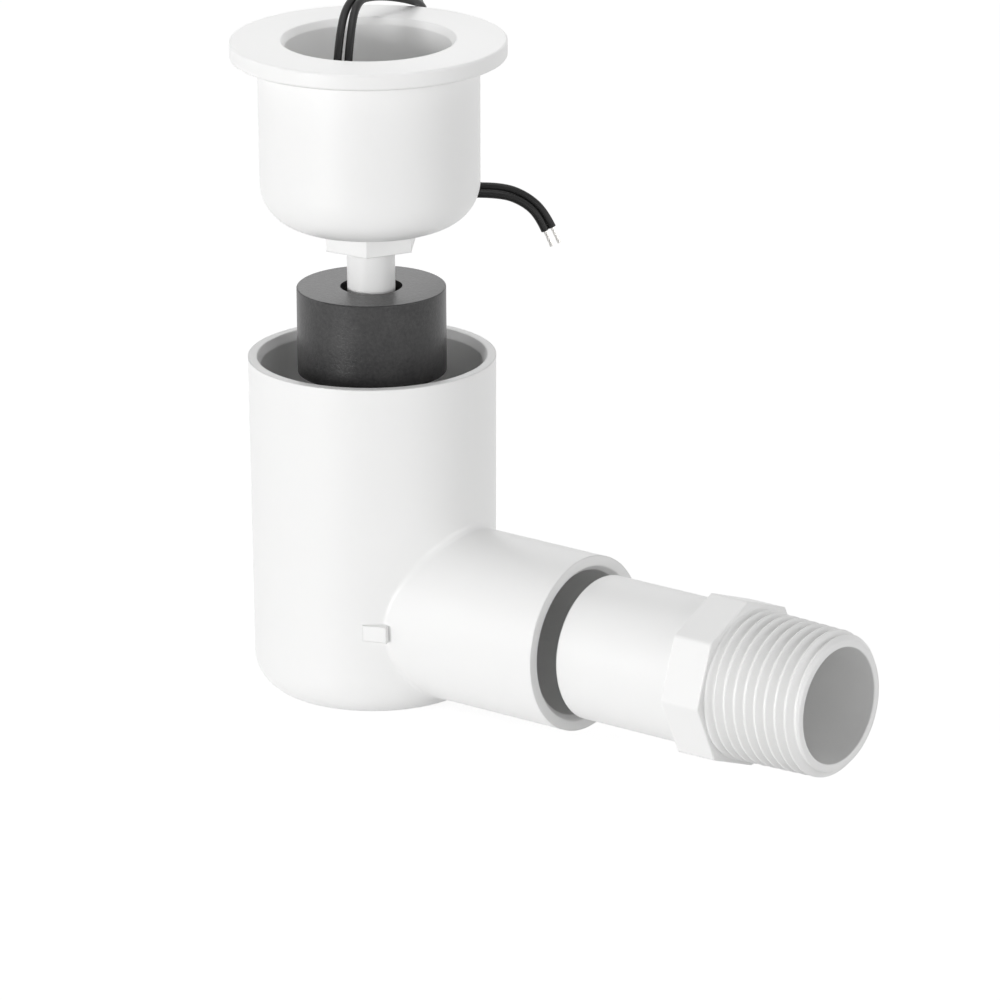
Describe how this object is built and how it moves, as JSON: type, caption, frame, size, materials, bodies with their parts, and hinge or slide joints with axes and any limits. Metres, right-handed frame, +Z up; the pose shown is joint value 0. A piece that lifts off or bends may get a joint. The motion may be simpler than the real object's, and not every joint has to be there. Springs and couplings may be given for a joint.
{
  "type": "float level switch",
  "caption": "Reed float switch in a plugged chamber with a side socket and a threaded drain adapter.",
  "frame": {"origin": "middle of the chamber's flat foot", "axes": "+Z up along the chamber and the stem, +X along the side socket and the adapter"},
  "size_m": [0.1315, 0.0685, 0.1292],
  "materials": {
    "white_pvc": "satin",
    "white_rubber": "matte",
    "white_polypropylene": "satin",
    "black_foam": "matte, closed-cell",
    "ferrite": "matte",
    "spring_steel": "satin",
    "reed_glass": "clear",
    "reed_alloy": "bright",
    "solder": "bright",
    "tinned_copper": "bright",
    "red_insulation": "matte",
    "black_sleeve": "matte",
    "potting_resin": "glossy",
    "black_lead": "satin"
  },
  "bodies": {
    "chamber": {"elbow_body": "white_pvc"},
    "cap": {"float_cap": "white_pvc", "sealing_washer": "white_rubber", "switch_stem": "white_polypropylene", "lock_nut": "white_polypropylene", "retaining_clip": "spring_steel", "reed_capsule": "reed_glass", "reed_blade_lower": "reed_alloy", "reed_blade_upper": "reed_alloy", "solder_joint": "solder", "return_wire": "tinned_copper", "return_insulation": "red_insulation", "shrink_sleeve_a": "black_sleeve", "shrink_sleeve_b": "black_sleeve", "potting_plug": "potting_resin", "lead_a": "black_lead", "lead_b": "black_lead", "lead_a_tip": "tinned_copper", "lead_b_tip": "tinned_copper"},
    "float": {"foam_float": "black_foam", "float_magnet": "ferrite"},
    "adapter": {"male_adapter": "white_pvc"}
  },
  "joints": [
    {"name": "cap_lift", "type": "slide", "parent": "chamber", "child": "cap", "axis": [0, 0, 1], "range_m": [-0.0564, 0]},
    {"name": "float_slide", "type": "slide", "parent": "cap", "child": "float", "axis": [0, 0, 1], "range_m": [0, 0.0076]},
    {"name": "adapter_slide", "type": "slide", "parent": "chamber", "child": "adapter", "axis": [1, 0, 0], "range_m": [-0.0282, 0]}
  ]
}
